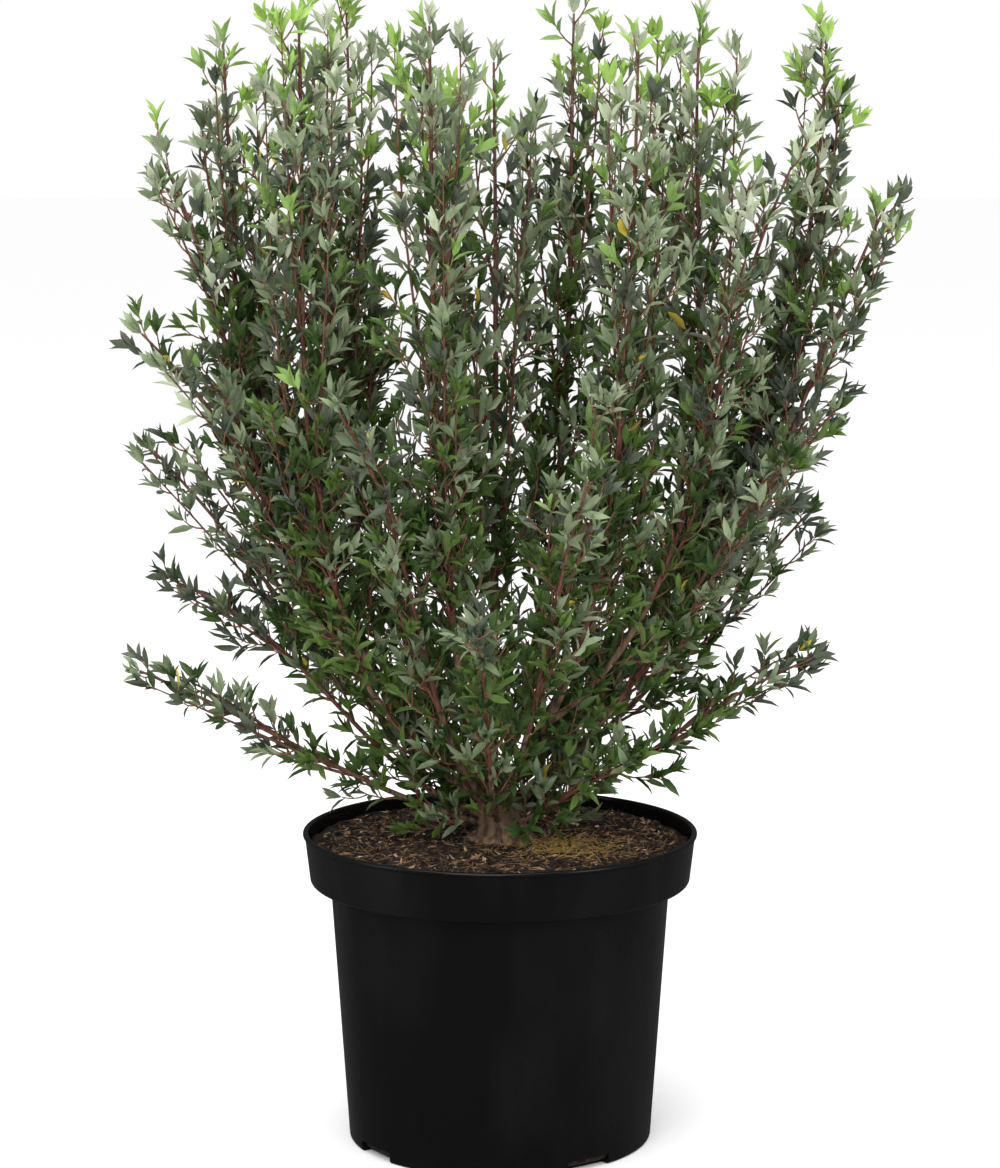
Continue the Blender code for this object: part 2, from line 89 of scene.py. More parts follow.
class Finish:
    """A Principled material whose nodes are written as calls."""

    def __init__(self, name, colour, roughness, **constants):
        self.material = bpy.data.materials.new(name)
        self.material.use_nodes = True
        self.tree = self.material.node_tree
        self.shader = self.tree.nodes["Principled BSDF"]
        self.shader.inputs["Base Color"].default_value = (*colour, 1.0)
        self.shader.inputs["Roughness"].default_value = roughness
        for socket, value in constants.items():
            self.shader.inputs[socket.replace("_", " ")].default_value = value

    def node(self, kind, settings=None, *values, out=0, **named):
        made = self.tree.nodes.new(kind)
        for key, value in (settings or {}).items():
            setattr(made, key, value)
        pairs = list(zip(made.inputs, values))
        pairs += [(made.inputs[name.replace("_", " ")], value) for name, value in named.items()]
        for socket, value in pairs:
            if isinstance(value, Value):
                self.tree.links.new(value.socket, socket)
            else:
                socket.default_value = value
        return Value(self, made.outputs[out])

    def place(self, stretch):
        """The piece's own coordinates, stretched along its axes."""
        spot = self.node("ShaderNodeTexCoord", out=3)
        return self.node("ShaderNodeMapping", None, Vector=spot, Scale=stretch)

    def grain(self, scale, detail=4.0, stretch=(1.0, 1.0, 1.0)):
        """A soft random pattern, from 0 to 1."""
        return self.node("ShaderNodeTexNoise", None, Vector=self.place(stretch), Scale=scale, Detail=detail)

    def blend(self, share, first, second):
        made = self.tree.nodes.new("ShaderNodeMix")
        made.data_type = "RGBA"
        self.tree.links.new(share.socket, made.inputs[0])
        for socket, value in ((made.inputs[6], first), (made.inputs[7], second)):
            if isinstance(value, Value):
                self.tree.links.new(value.socket, socket)
            else:
                socket.default_value = (*value, 1.0)
        return Value(self, made.outputs[2])

    def step(self, value, low, high):
        """A value as a share of the way from low to high."""
        return self.node("ShaderNodeMapRange", None, value, low, high, 0.0, 1.0)

    def drive(self, socket, value):
        self.tree.links.new(value.socket, self.shader.inputs[socket])

    def bump(self, height, strength, distance):
        bumped = self.node("ShaderNodeBump", None, Strength=strength, Distance=distance, Height=height)
        self.drive("Normal", bumped)


def mottled(name, colour, roughness, scale, spread=0.25, **constants):
    """A plain colour with soft lighter and darker patches in it."""
    finish = Finish(name, colour, roughness, **constants)
    dark = tuple(channel * (1.0 - spread) for channel in colour)
    light = tuple(min(1.0, channel * (1.0 + spread)) for channel in colour)
    patches = finish.step(finish.grain(scale, 3.0), 0.38, 0.62)
    finish.drive("Base Color", finish.blend(patches, dark, light))
    return finish.material


def shown(name, points, faces, material, smooth=True):
    """A mesh object in the scene from arrays of points and faces."""
    mesh = bpy.data.meshes.new(name)
    mesh.from_pydata([tuple(point) for point in points], [], [tuple(face) for face in faces])
    mesh.materials.append(material)
    if smooth:
        mesh.shade_smooth()
    made = bpy.data.objects.new(name, mesh)
    bpy.context.scene.collection.objects.link(made)
    return made


def soft_light(name, place, aim, width, height, power):
    """A rectangular area light that faces a point."""
    light = bpy.data.lights.new(name, "AREA")
    light.shape = "RECTANGLE"
    light.size = width
    light.size_y = height
    light.energy = power
    made = bpy.data.objects.new(name, light)
    made.location = place
    made.rotation_euler = (Vector(aim) - Vector(place)).to_track_quat("-Z", "Y").to_euler()
    bpy.context.scene.collection.objects.link(made)


half = FLOOR_SIZE / 2
floor_points = ((-half, -half, 0.0), (half, -half, 0.0), (half, half, 0.0), (-half, half, 0.0))
white = Finish("floor", (0.98, 0.98, 0.98), 0.9, Specular_IOR_Level=0.0)
floor = shown("floor", floor_points, ((0, 1, 2, 3),), white.material, False)
floor.visible_glossy = False
soft_light("overhead", (-0.3, -0.6, 2.6), (0.0, 0.0, 0.5), 2.4, 2.4, 38.0)
soft_light("right_soft", (2.0, -1.5, 1.1), (0.0, 0.0, 0.35), 0.8, 1.7, 15.0)
soft_light("left_strip", (-2.0, -0.7, 0.9), (0.0, 0.0, 0.3), 0.25, 1.6, 5.0)
soft_light("front_soft", (-0.7, -3.0, 1.9), (0.0, 0.0, 0.5), 2.0, 1.5, 40.0)

camera = bpy.data.objects.new("camera", bpy.data.cameras.new("camera"))
camera.data.lens = CAMERA_LENS
camera.location = CAMERA_PLACE
camera.rotation_euler = (math.radians(90.0 - CAMERA_PITCH), 0.0, 0.0)
bpy.context.scene.collection.objects.link(camera)
bpy.context.scene.camera = camera
bpy.context.scene.view_settings.view_transform = "Standard"

world = bpy.data.worlds.new("studio")
bpy.context.scene.world = world
world.use_nodes = True
room = world.node_tree
surface = room.nodes["Background"].outputs[0]
room.nodes["Background"].inputs["Color"].default_value = (1.0, 1.0, 1.0, 1.0)
room.nodes["Background"].inputs["Strength"].default_value = ROOM_LIGHT
rays = room.nodes.new("ShaderNodeLightPath")
for ray, strength in (("Is Glossy Ray", ROOM_IN_GLOSS), ("Is Camera Ray", 1.0)):
    seen = room.nodes.new("ShaderNodeBackground")
    seen.inputs["Color"].default_value = (1.0, 1.0, 1.0, 1.0)
    seen.inputs["Strength"].default_value = strength
    either = room.nodes.new("ShaderNodeMixShader")
    room.links.new(rays.outputs[ray], either.inputs["Fac"])
    room.links.new(surface, either.inputs[1])
    room.links.new(seen.outputs[0], either.inputs[2])
    surface = either.outputs[0]
room.links.new(surface, room.nodes["World Output"].inputs["Surface"])

# Pot
# A black nursery pot, blow moulded in one piece from glossy plastic, with a rolled lip,
# a wide band under it, a narrow ledge, and four drain notches in the foot of its wall.
POT_HEIGHT = 0.222
LIP_RADIUS = 0.140
LIP_ROUND = 0.0016
LIP_DROP = 2.2 * LIP_ROUND
LIP_INSET = 0.0009
BAND_TOP_RADIUS = 0.1385
BAND_BOTTOM_RADIUS = 0.1350
BAND_HEIGHT = 0.036
BAND_ROUND = 0.0028
NECK_RADIUS = 0.1205
NECK_ROUND = 0.0012
BASE_RADIUS = 0.1080
FOOT_ROUND = 0.0024
POT_WALL = 0.0022
POT_FLOOR = 0.0030
POT_STEPS = 144
POT_CREASE = 38.0
SEAM_REACH = 0.00002
DRAIN_COUNT = 4
DRAIN_WIDTH = 0.035
DRAIN_HEIGHT = 0.008
DRAIN_DEPTH = 0.009
DRAIN_FIRST_AZIMUTH = -54.8


def arc(centre, radius, start, end, count=6):
    """Points of a round corner in a profile, between two angles in degrees."""
    turns = [math.radians(start + (end - start) * i / (count - 1)) for i in range(count)]
    return [(centre[0] + radius * math.cos(t), centre[1] + radius * math.sin(t)) for t in turns]


def baked(source, name):
    """The object's evaluated shape as a plain mesh object in its place."""
    bpy.context.view_layer.update()
    graph = bpy.context.evaluated_depsgraph_get()
    mesh = bpy.data.meshes.new_from_object(source.evaluated_get(graph))
    bpy.data.objects.remove(source, do_unlink=True)
    mesh.name = name
    made = bpy.data.objects.new(name, mesh)
    bpy.context.scene.collection.objects.link(made)
    return made


band_foot = POT_HEIGHT - BAND_HEIGHT
lip_middle = POT_HEIGHT - LIP_ROUND
profile = [(0.0, POT_FLOOR), (BASE_RADIUS - POT_WALL, POT_FLOOR)]
profile += [(radius - POT_WALL, band_foot + POT_WALL) for radius in (NECK_RADIUS, BAND_BOTTOM_RADIUS)]
profile += [(BAND_TOP_RADIUS - POT_WALL, POT_HEIGHT - LIP_DROP)]
profile += arc((LIP_RADIUS - LIP_ROUND - LIP_INSET, lip_middle), LIP_ROUND, 170.0, 90.0)
profile += arc((LIP_RADIUS - LIP_ROUND, lip_middle), LIP_ROUND, 90.0, -70.0, 9)
profile += [(BAND_TOP_RADIUS, POT_HEIGHT - LIP_DROP)]
profile += arc((BAND_BOTTOM_RADIUS - BAND_ROUND, band_foot + BAND_ROUND), BAND_ROUND, 0.0, -90.0)
profile += arc((NECK_RADIUS + NECK_ROUND, band_foot - NECK_ROUND), NECK_ROUND, 90.0, 180.0, 4)
profile += arc((BASE_RADIUS - FOOT_ROUND, FOOT_ROUND), FOOT_ROUND, 0.0, -90.0)
profile += [(0.0, 0.0)]
outline = bpy.data.meshes.new("pot_outline")
outline.from_pydata([(r, 0.0, z) for r, z in profile], [(i, i + 1) for i in range(len(profile) - 1)], [])
pot_form = bpy.data.objects.new("pot_form", outline)
bpy.context.scene.collection.objects.link(pot_form)
turn = pot_form.modifiers.new("Turn", "SCREW")
turn.steps = POT_STEPS
turn.render_steps = POT_STEPS
turn.use_merge_vertices = True
turn.merge_threshold = SEAM_REACH
pot = baked(pot_form, "nursery_pot")
notches = []
for index in range(DRAIN_COUNT):
    azimuth = math.radians(DRAIN_FIRST_AZIMUTH - 90.0 + index * 360.0 / DRAIN_COUNT)
    bpy.ops.mesh.primitive_cube_add(size=1.0, rotation=(0.0, 0.0, azimuth))
    notch = bpy.context.object
    notch.location = (BASE_RADIUS * math.cos(azimuth), BASE_RADIUS * math.sin(azimuth), 0.0)
    notch.scale = (2 * DRAIN_DEPTH, DRAIN_WIDTH, 2 * DRAIN_HEIGHT)
    cut = pot.modifiers.new(f"Drain {index}", "BOOLEAN")
    cut.object = notch
    notches.append(notch)
pot = baked(pot, "nursery_pot")
for notch in notches:
    bpy.data.objects.remove(notch, do_unlink=True)
plastic = Finish("black_pot_plastic", (0.003, 0.003, 0.0035), 0.24, Specular_IOR_Level=0.3)
scuffs = plastic.step(plastic.grain(14.0, 6.0, (1.0, 1.0, 0.35)), 0.45, 0.75)
plastic.drive("Roughness", 0.2 + 0.16 * scuffs)
plastic.drive("Base Color", plastic.blend(0.5 * scuffs, (0.0028, 0.0028, 0.0032), (0.011, 0.011, 0.011)))
plastic.bump(plastic.grain(9.0, 2.0, (1.0, 1.0, 0.5)) + 0.15 * plastic.grain(240.0, 2.0), 0.12, 0.004)
pot.data.materials.clear()
pot.data.materials.append(plastic.material)
pot.data.shade_smooth()
pot.data.set_sharp_from_angle(angle=math.radians(POT_CREASE))
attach(pot, "root")
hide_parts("pot")

# Potting mix
# Moist bark compost with shreds and fibres lying every way, dark with tan chips, and
# golden moss to the right of the stems. It fills the pot to just under the lip.
MIX_LEVEL = 0.2155
MIX_EDGE_LEVEL = 0.2125
MIX_FLAT_RADIUS = 0.026
MIX_RINGS = 46
MIX_TURNS = 120
MIX_GAP = 0.0006
MIX_UP_BAND = 0.72
MIX_ROUGH_FROM = 0.7
CHIPS = 5200
CHIP_EDGE_GAP = 0.004
CHIP_TRUNK_GAP = 0.022
CHIP_LIFT = 0.0006
CHIP_LENGTHS = (0.002, 0.014)
CHIP_WIDTHS = (0.0008, 0.0042)
FIBRES = 1500
FIBRE_EDGE_GAP = 0.014
FIBRE_LIFT = 0.001
FIBRE_LENGTHS = (0.005, 0.018)
FIBRE_WIDTH = 0.0006
FIBRE_THICKNESS = 0.0005
MOSS_PLACE = (0.045, -0.030)
MOSS_REACH = 0.040
MOSS_SHARE = 0.45
MIX_SEED = 21

# Each layer of lumps has a height, a size and a level in the noise.
MIX_LUMPS = ((0.0018, 0.022, 0.0), (0.0011, 0.007, 4.0), (0.0007, 0.0026, 9.0))
mix_edge = BAND_BOTTOM_RADIUS + (BAND_TOP_RADIUS - BAND_BOTTOM_RADIUS) * MIX_UP_BAND - POT_WALL - MIX_GAP


def mix_height(x, y):
    """The surface of the potting mix."""
    radius = math.hypot(x, y)
    share = min(1.0, max(0.0, (radius - MIX_FLAT_RADIUS) / (mix_edge - MIX_FLAT_RADIUS)))
    rough = min(1.0, max(0.0, radius / MIX_FLAT_RADIUS - MIX_ROUGH_FROM))
    lumps = sum(height * noise.noise(Vector((x, y, level)) / size) for height, size, level in MIX_LUMPS)
    return MIX_LEVEL - share**2 * (MIX_LEVEL - MIX_EDGE_LEVEL) + rough * lumps


mix_points = [(0.0, 0.0, mix_height(0.0, 0.0))]
for ring in range(1, MIX_RINGS + 1):
    for step in range(MIX_TURNS):
        angle = 2 * math.pi * (step + 0.5 * (ring % 2)) / MIX_TURNS
        x = mix_edge * ring / MIX_RINGS * math.cos(angle)
        y = mix_edge * ring / MIX_RINGS * math.sin(angle)
        mix_points.append((x, y, mix_height(x, y)))
for radius, level in ((BAND_BOTTOM_RADIUS - POT_WALL - MIX_GAP, band_foot + POT_WALL + MIX_GAP),
                      (NECK_RADIUS - POT_WALL - 2 * MIX_GAP, band_foot + POT_WALL + MIX_GAP),
                      (BASE_RADIUS - POT_WALL - 2 * MIX_GAP, POT_FLOOR + MIX_GAP)):
    for step in range(MIX_TURNS):
        angle = 2 * math.pi * step / MIX_TURNS
        mix_points.append((radius * math.cos(angle), radius * math.sin(angle), level))
mix_points.append((0.0, 0.0, POT_FLOOR + MIX_GAP))
mix_faces = [(0, 1 + step, 1 + (step + 1) % MIX_TURNS) for step in range(MIX_TURNS)]
for ring in range(MIX_RINGS + 2):
    low = 1 + ring * MIX_TURNS
    for step in range(MIX_TURNS):
        after = (step + 1) % MIX_TURNS
        mix_faces.append((low + step, low + MIX_TURNS + step, low + MIX_TURNS + after, low + after))
last = 1 + (MIX_RINGS + 2) * MIX_TURNS
mix_faces += [(last + (step + 1) % MIX_TURNS, last + step, last + MIX_TURNS) for step in range(MIX_TURNS)]
compost = Finish("bark_compost", (0.05, 0.03, 0.02), 0.95)
crumbling = compost.step(compost.grain(420.0, 5.0), 0.35, 0.7)
compost.drive("Base Color", compost.blend(crumbling, (0.008, 0.005, 0.003), (0.050, 0.027, 0.013)))
compost.bump(compost.grain(700.0, 4.0), 0.6, 0.002)
mix = shown("compost_surface", mix_points, mix_faces, compost.material)
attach(mix, "root")
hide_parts("potting_mix")


def unit(vectors):
    """Vectors of length one."""
    return vectors / np.maximum(np.linalg.norm(vectors, axis=-1, keepdims=True), 1e-9)


def scattered(name, template, faces, roots, ways, uppers, sizes, material, smooth=False):
    """Copies of a small shape, joined in one mesh. Each size holds width, thickness and length."""
    across = unit(np.cross(uppers, ways))
    normals = np.cross(ways, across)
    scaled = template[None, :, :] * sizes[:, None, :]
    points = roots[:, None, :] + scaled[:, :, 0:1] * across[:, None, :]
    points = points + scaled[:, :, 1:2] * normals[:, None, :] + scaled[:, :, 2:3] * ways[:, None, :]
    offsets = np.arange(len(roots)) * len(template)
    joined = [tuple(index + offset for index in face) for offset in offsets for face in faces]
    return shown(name, points.reshape(-1, 3), joined, material, smooth)


flake = np.array(((0, 0, -0.5), (0.5, 0, -0.1), (0, 0.5, 0), (-0.5, 0, 0.12), (0, -0.5, 0), (0, 0, 0.5)), float)
flake_faces = ((0, 2, 1), (0, 3, 2), (0, 4, 3), (0, 1, 4), (5, 1, 2), (5, 2, 3), (5, 3, 4), (5, 4, 1))
chip_colours = {
    "dark_chips": ((0.014, 0.008, 0.005), 0.48),
    "brown_chips": ((0.050, 0.025, 0.012), 0.32),
    "tan_chips": ((0.200, 0.115, 0.055), 0.15),
    "pale_chips": ((0.420, 0.290, 0.170), 0.05),
}
draw = np.random.default_rng(MIX_SEED)
chip_radii = np.sqrt(draw.uniform((CHIP_TRUNK_GAP / mix_edge) ** 2, 0.985, CHIPS)) * (mix_edge - CHIP_EDGE_GAP)
chip_turns = draw.uniform(0.0, 2 * math.pi, CHIPS)
chip_spots = np.column_stack((chip_radii * np.cos(chip_turns), chip_radii * np.sin(chip_turns)))
chip_roots = np.array([(x, y, mix_height(x, y) + CHIP_LIFT) for x, y in chip_spots])
chip_ways = unit(np.column_stack((draw.normal(size=(CHIPS, 2)), draw.normal(0.0, 0.28, CHIPS))))
chip_uppers = np.column_stack((draw.normal(0.0, 0.35, (CHIPS, 2)), np.ones(CHIPS)))
chip_lengths = draw.gamma(4.0, 0.0015, CHIPS).clip(*CHIP_LENGTHS)
chip_widths = (chip_lengths * draw.uniform(0.16, 0.5, CHIPS)).clip(*CHIP_WIDTHS)
chip_sizes = np.column_stack((chip_widths, chip_widths * 0.45, chip_lengths))
chip_kinds = draw.choice(len(chip_colours), CHIPS, p=[share for _, share in chip_colours.values()])
for index, (name, (colour, _)) in enumerate(chip_colours.items()):
    chosen = chip_kinds == index
    piece = scattered(name, flake, flake_faces, chip_roots[chosen], chip_ways[chosen], chip_uppers[chosen],
                      chip_sizes[chosen], mottled(name, colour, 0.85, 500.0))
    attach(piece, "root")

near_moss = draw.random(FIBRES) < MOSS_SHARE
fibre_radii = np.sqrt(draw.uniform(0.03, 0.95, FIBRES)) * (mix_edge - FIBRE_EDGE_GAP)
fibre_turns = draw.uniform(0.0, 2 * math.pi, FIBRES)
moss_x = MOSS_PLACE[0] + draw.normal(0.0, MOSS_REACH / 2, FIBRES)
moss_y = MOSS_PLACE[1] + draw.normal(0.0, MOSS_REACH / 2, FIBRES)
fibre_x = np.where(near_moss, moss_x, fibre_radii * np.cos(fibre_turns))
fibre_y = np.where(near_moss, moss_y, fibre_radii * np.sin(fibre_turns))
fits = np.hypot(fibre_x, fibre_y) < mix_edge - FIBRE_EDGE_GAP
fibre_roots = np.array([(x, y, mix_height(x, y) + FIBRE_LIFT) for x, y in zip(fibre_x, fibre_y)])
fibre_ways = unit(np.column_stack((draw.normal(size=(FIBRES, 2)), draw.normal(0.0, 0.3, FIBRES))))
fibre_uppers = np.tile((0.05, 0.0, 1.0), (FIBRES, 1))
fibre_lengths = draw.uniform(*FIBRE_LENGTHS, FIBRES)
fibre_sizes = np.column_stack((np.full(FIBRES, FIBRE_WIDTH), np.full(FIBRES, FIBRE_THICKNESS), fibre_lengths))
for name, colour, chosen in (("moss_fibres", (0.330, 0.210, 0.060), near_moss & fits),
                             ("bark_fibres", (0.200, 0.110, 0.055), ~near_moss & fits)):
    piece = scattered(name, flake, flake_faces, fibre_roots[chosen], fibre_ways[chosen], fibre_uppers[chosen],
                      fibre_sizes[chosen], mottled(name, colour, 0.9, 300.0))
    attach(piece, "root")

# Woody limbs
# A low root crown with a flare, and the bare feet of the many stems that leave it, in
# thin brown bark that splits along the grain. Each limb starts inside the one it leaves.
CROWN_TOP = 0.252
MIX_TOP_GAP = 0.0003
TRUNK_PROFILE = ((0.0, 0.0250), (0.14, 0.0195), (0.35, 0.0155), (0.7, 0.0130), (0.9, 0.0112), (1.0, 0.0070))
TRUNK_LEAN = 0.006
TRUNK_RINGS = 18
TRUNK_SIDES = 28
TRUNK_RELIEF = 0.14
TIP_LEAF = 0.050
CLEAR_SHARE = 0.035
PATH_POINTS = 61
PULL = 0.36
STEM_TIP_RADIUS = 0.0010
TIP_LEAF_CLEAR = 0.8
FULL_SPREAD = 0.15
THICKEST_FOOT = 0.8
TAPER = 0.75
BOUGH_POINTS = 24
BOUGH_SIDES = 10
BOUGH_RELIEF = 0.16
BOUGH_OVERLAP = 0.03
BARK_STEP = 0.0035
GRAIN_ROUND = 1.7
GRAIN_UP = 70.0
GRAIN_ACROSS = 40.0
Tier = namedtuple("Tier", "foot_lean tip_lean bare foot_radius twig_length shoots low_shoots spread")
TIERS = {
    "clipped": Tier(52.0, 2.0, 0.22, 0.0044, 0.072, 5, 4, 0.046),
    "shoulder": Tier(54.0, 24.0, 0.26, 0.0036, 0.066, 3, 2, 0.022),
    "side": Tier(60.0, 44.0, 0.30, 0.0031, 0.058, 2, 2, 0.020),
    "skirt": Tier(74.0, 64.0, 0.34, 0.0024, 0.050, 2, 1, 0.014),
}

# Azimuth is in degrees from +X towards +Y, and the foot is a share of the parent's length.
Leader = namedtuple("Leader", "name tier parent foot azimuth reach height")
LEADERS = (
    Leader("centre", "clipped", "trunk", 1.00, -112.0, 0.012, 0.777),
    Leader("far_left", "clipped", "trunk", 0.86, 180.0, 0.191, 0.790),
    Leader("front_left", "clipped", "trunk", 0.90, -112.0, 0.124, 0.800),
    Leader("back_right", "clipped", "trunk", 0.88, 62.0, 0.113, 0.812),
    Leader("front_right", "clipped", "trunk", 0.90, -53.0, 0.151, 0.785),
    Leader("far_right", "clipped", "trunk", 0.84, 5.0, 0.228, 0.790),
    Leader("left_front", "clipped", "far_left", 0.50, -151.0, 0.154, 0.800),
    Leader("left_back", "clipped", "far_left", 0.72, 149.0, 0.127, 0.812),
    Leader("right_inner", "clipped", "far_right", 0.55, -8.0, 0.138, 0.800),
    Leader("back", "shoulder", "trunk", 0.78, 104.0, 0.190, 0.760),
    Leader("shoulder_left", "shoulder", "far_left", 0.92, -168.0, 0.241, 0.712),
    Leader("shoulder_right", "shoulder", "far_right", 0.86, -4.0, 0.273, 0.680),
    Leader("shoulder_front_right", "shoulder", "front_right", 0.62, -24.0, 0.219, 0.706),
    Leader("shoulder_back_right", "shoulder", "back_right", 0.62, 44.0, 0.210, 0.720),
    Leader("shoulder_back_left", "shoulder", "trunk", 0.74, 137.0, 0.216, 0.700),
    Leader("side_left_high", "side", "trunk", 0.60, -163.0, 0.264, 0.591),
    Leader("side_left_low", "side", "trunk", 0.52, 168.0, 0.264, 0.498),
    Leader("side_right_high", "side", "trunk", 0.60, -22.0, 0.254, 0.540),
    Leader("side_right_low", "side", "trunk", 0.50, 14.0, 0.238, 0.452),
    Leader("front_left_arch", "side", "trunk", 0.58, -122.0, 0.208, 0.546),
    Leader("front_right_arch", "side", "trunk", 0.60, -73.0, 0.209, 0.504),
    Leader("skirt_left_upper", "skirt", "trunk", 0.34, -178.0, 0.246, 0.410),
    Leader("skirt_left", "skirt", "trunk", 0.20, -163.0, 0.272, 0.356),
    Leader("skirt_right", "skirt", "trunk", 0.22, -9.0, 0.234, 0.358),
    Leader("skirt_front", "skirt", "trunk", 0.30, -95.0, 0.212, 0.400),
    Leader("skirt_front_right", "skirt", "trunk", 0.20, -47.0, 0.150, 0.300),
    Leader("skirt_back_right", "skirt", "trunk", 0.30, 50.0, 0.222, 0.400),
    Leader("skirt_back_left", "skirt", "trunk", 0.30, 122.0, 0.222, 0.385),
)
Path = namedtuple("Path", "points radii")


def heading(azimuth, lean):
    """A unit vector that leans off the vertical towards an azimuth, both in degrees."""
    turn = math.radians(azimuth)
    tilt = math.radians(lean)
    return np.array((math.sin(tilt) * math.cos(turn), math.sin(tilt) * math.sin(turn), math.cos(tilt)))


def lengths(points):
    """The length run at each point of a path."""
    steps = np.linalg.norm(np.diff(points, axis=0), axis=1)
    return np.concatenate(([0.0], np.cumsum(steps)))


def along(path, share):
    """The place, direction and radius at a share of a path's length."""
    run = lengths(path.points)
    want = share * run[-1]
    place = np.array([np.interp(want, run, path.points[:, axis]) for axis in range(3)])
    index = min(max(int(np.searchsorted(run, want)), 1), len(run) - 1)
    step = path.points[index] - path.points[index - 1]
    return place, step / np.linalg.norm(step), float(np.interp(want, run, path.radii))


def piece_of(path, start, end, count):
    """The stretch of a path between two shares of its length, in evenly spaced points."""
    spots = [along(path, share) for share in np.linspace(start, end, count)]
    return Path(np.array([spot[0] for spot in spots]), np.array([spot[2] for spot in spots]))


def leader_path(leader, parent):
    """A leader from its parent's axis to the end of its stem, as one smooth curve."""
    tier = TIERS[leader.tier]
    start, _, parent_radius = along(parent, leader.foot)
    spread = min(1.0, leader.reach / FULL_SPREAD)
    tip_way = heading(leader.azimuth, tier.tip_lean)
    turn = math.radians(leader.azimuth)
    tip = np.array((leader.reach * math.cos(turn), leader.reach * math.sin(turn), leader.height))
    end = tip - TIP_LEAF_CLEAR * TIP_LEAF * tip_way
    across = end - start
    foot_azimuth = math.degrees(math.atan2(across[1], across[0]))
    foot_way = heading(foot_azimuth, tier.foot_lean * spread)
    pull = PULL * np.linalg.norm(across)
    t = np.linspace(0.0, 1.0, PATH_POINTS)[:, None]
    s = 1.0 - t
    points = s**3 * start + 3 * s**2 * t * (start + pull * foot_way)
    points = points + 3 * s * t**2 * (end - pull * tip_way) + t**3 * end
    foot_radius = min(tier.foot_radius, THICKEST_FOOT * parent_radius)
    shares = lengths(points) / lengths(points)[-1]
    return Path(points, foot_radius + (STEM_TIP_RADIUS - foot_radius) * shares**TAPER)


class Tubes:
    """Many tapering tubes, gathered in one mesh."""

    def __init__(self):
        self.points = []
        self.faces = []

    def add(self, path, sides, relief=0.0):
        """A tube along a path. With relief, its surface is split along the grain like bark."""
        ways = unit(np.gradient(path.points, axis=0))
        side = unit(np.cross(ways[0], (0.31, 0.17, 0.93)))
        low = len(self.points)
        for ring, (place, way, radius) in enumerate(zip(path.points, ways, path.radii)):
            side = unit(side - way * np.dot(side, way))
            other = np.cross(way, side)
            for step in range(sides):
                angle = 2 * math.pi * step / sides
                lift = 0.0
                if relief:
                    rise = place[2] * GRAIN_UP + place[0] * GRAIN_ACROSS
                    grain = Vector((math.cos(angle) * GRAIN_ROUND, math.sin(angle) * GRAIN_ROUND, rise))
                    lift = relief * (noise.noise(grain) + 0.6 * noise.noise(grain * 3.1))
                spread = radius * (1.0 + lift)
                self.points.append(place + spread * (math.cos(angle) * side + math.sin(angle) * other))
            if ring:
                base = low + (ring - 1) * sides
                for step in range(sides):
                    after = (step + 1) % sides
                    self.faces.append((base + step, base + after, base + sides + after, base + sides + step))
        self.faces.append(tuple(low + step for step in reversed(range(sides))))
        top = len(self.points) - sides
        self.faces.append(tuple(top + step for step in range(sides)))


trunk_shares = np.array([share for share, _ in TRUNK_PROFILE])
trunk_low = MIX_LEVEL + MIX_TOP_GAP
trunk_lean = -TRUNK_LEAN * np.clip(trunk_shares - TRUNK_PROFILE[1][0], 0.0, 1.0)
trunk_heights = trunk_low + trunk_shares * (CROWN_TOP - trunk_low)
trunk_points = np.column_stack((trunk_lean, 0 * trunk_lean, trunk_heights))
trunk_axis = Path(trunk_points, np.array([radius for _, radius in TRUNK_PROFILE]))
limbs = Tubes()
limbs.add(piece_of(trunk_axis, 0.0, 1.0, TRUNK_RINGS), TRUNK_SIDES, TRUNK_RELIEF)
boughs = {"trunk": trunk_axis}
axes = {}
for leader in LEADERS:
    bare = TIERS[leader.tier].bare
    path = leader_path(leader, boughs[leader.parent])
    axes[leader.name] = path
    boughs[leader.name] = piece_of(path, CLEAR_SHARE, bare, BOUGH_POINTS)
    rings = int(bare * lengths(path.points)[-1] / BARK_STEP)
    limbs.add(piece_of(path, 0.0, bare + BOUGH_OVERLAP, rings), BOUGH_SIDES, BOUGH_RELIEF)
bark = Finish("brown_bark", (0.09, 0.05, 0.03), 0.85)
flaking = bark.step(bark.grain(260.0, 5.0, (1.0, 1.0, 0.22)), 0.38, 0.68)
bark.drive("Base Color", bark.blend(flaking, (0.055, 0.030, 0.018), (0.235, 0.145, 0.085)))
bark.bump(bark.grain(520.0, 4.0, (1.0, 1.0, 0.2)), 0.7, 0.0015)
woody = shown("woody_limbs", limbs.points, limbs.faces, bark.material)
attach(woody, "root")
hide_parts("trunk", *("bough_" + leader.name for leader in LEADERS))

# Stems, twigs and leaves
# Every leader runs on through its own mass as a thin red-brown stem, with upright side
# shoots, twigs by the golden angle and small pointed leaves that are bright when young.
CLIP_HEIGHT = 0.817
CROWN_LEFT = -0.275
CROWN_RIGHT = 0.286
CROWN_DEPTH = 0.215
LOWEST_LEAF = 0.236
RIM_REACH = 0.012
RIM_CLEARANCE = 0.003
MIX_CLEARANCE = 0.004
TIP_RUN = 0.024
TIP_RADIUS = 0.8 * STEM_TIP_RADIUS
STEM_RINGS = 36
STEM_SIDES = 7
STEM_RELIEF = 0.05
SHOOT_RADIUS = 0.0013
SHOOT_POINTS = 16
SHOOT_SIDES = 4
SHOOT_BARE = 0.1
SHOOT_TWIGS = 0.62
SHOOT_FEET = (0.04, 0.60)
SHOOT_RUN = (0.66, 1.0)
LOW_SHOOT_FEET = (0.0, 0.16)
LOW_SHOOT_RUN = (0.20, 0.42)
FIRST_TWIG = 0.07
TWIG_SIDES = 3
TWIG_BARE = 0.28
TWIG_STEP = 0.0098
TWIG_CROWDING = 1.25
